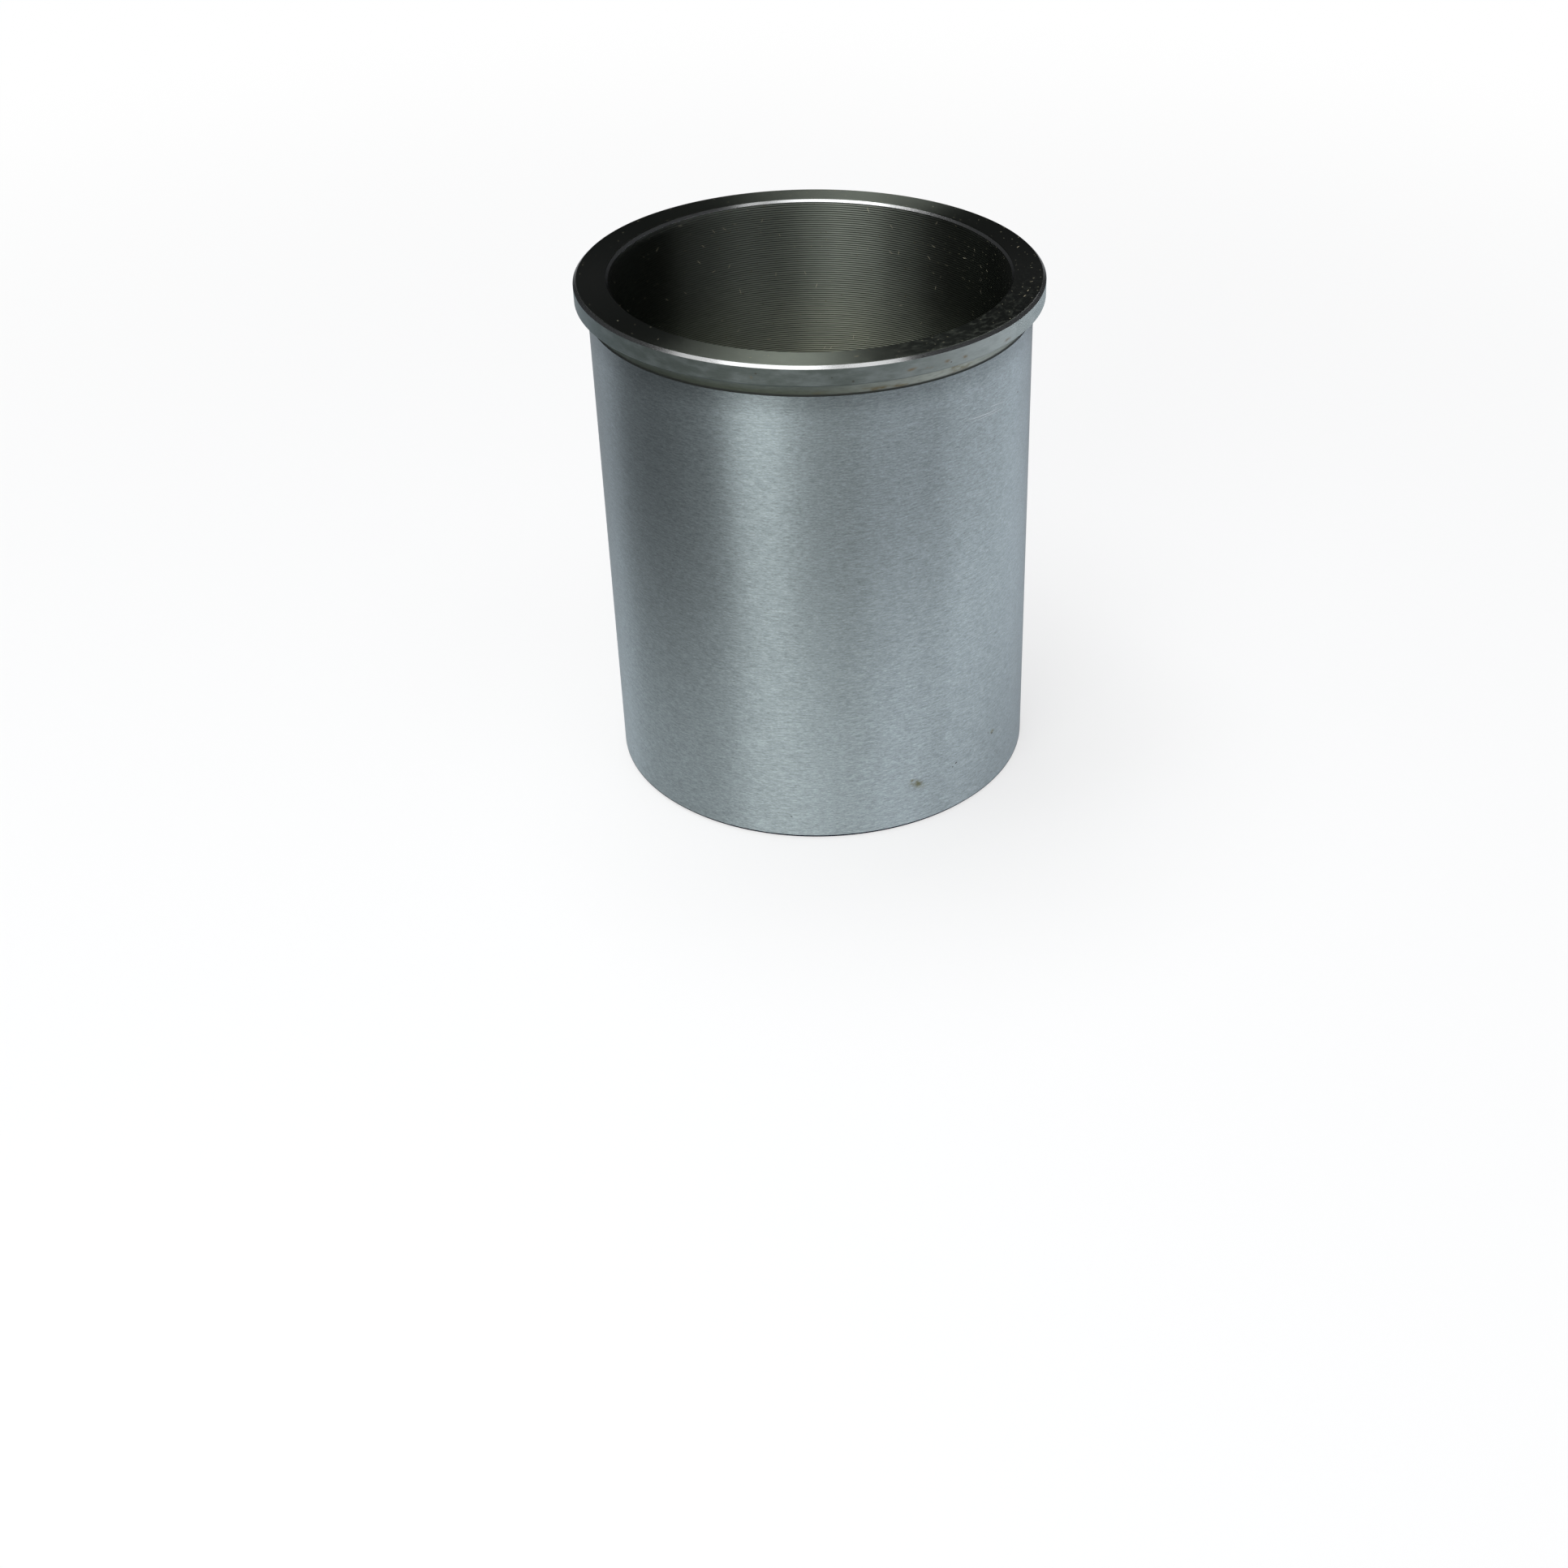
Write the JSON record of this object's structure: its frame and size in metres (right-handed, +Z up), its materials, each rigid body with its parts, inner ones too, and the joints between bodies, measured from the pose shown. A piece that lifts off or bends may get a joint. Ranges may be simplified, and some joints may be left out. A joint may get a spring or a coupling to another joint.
{
  "type": "cylinder liner",
  "caption": "Flanged dry cylinder liner of grey iron: a ground barrel with a top flange, a turned relief under the flange and a bored cylinder for a piston.",
  "frame": {"origin": "centre of the lower end face, on the bore axis", "axes": "+Z up the bore axis, towards the flange"},
  "size_m": [0.096, 0.096, 0.11],
  "materials": {
    "machined_iron": "grey iron, ground on the barrel, turned on the flange and rough bored inside"
  },
  "bodies": {
    "root": {"cylinder_liner": "machined_iron"}
  },
  "joints": []
}
